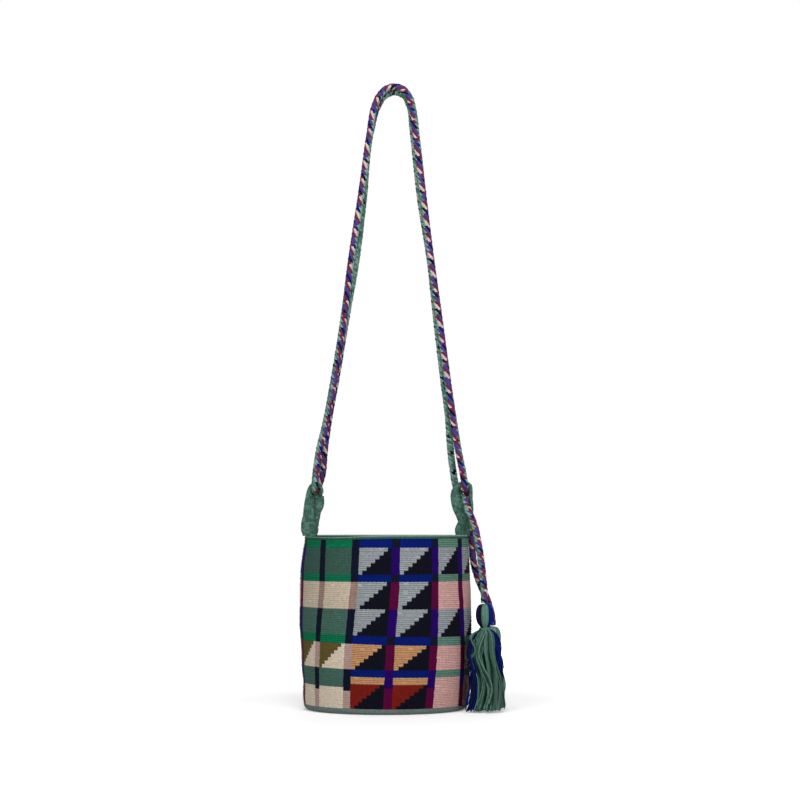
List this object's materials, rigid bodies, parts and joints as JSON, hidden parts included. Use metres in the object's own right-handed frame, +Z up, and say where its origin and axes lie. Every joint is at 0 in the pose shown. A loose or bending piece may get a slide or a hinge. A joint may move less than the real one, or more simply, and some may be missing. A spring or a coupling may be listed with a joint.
{
  "type": "mochila bag",
  "caption": "Crocheted bucket mochila bag with a plaid of colour blocks and stepped triangles, side loops, and a long doubled cord strap that ends in yarn tassels.",
  "frame": {"origin": "underside of the strap's apex, where a hook holds the hanging bag", "axes": "+X along the bag's width towards the tassels, +Y from the bag's front to its back, +Z up"},
  "size_m": [0.2455, 0.1646, 0.7531],
  "materials": {
    "body_yarn": "crocheted matt yarn in many colours",
    "sage_yarn": "crocheted matt sage green yarn",
    "strap_yarn": "crocheted matt yarn cord, green on one side and striped on the other",
    "tassel_yarn": "loose matt yarn, mostly green"
  },
  "bodies": {
    "root": {"bag_body": "body_yarn", "left_loop": "sage_yarn", "right_loop": "sage_yarn", "strap_cord": "strap_yarn", "front_tassel": "tassel_yarn", "front_tassel_wrap": "sage_yarn", "back_tassel": "tassel_yarn", "back_tassel_wrap": "sage_yarn"}
  },
  "joints": []
}
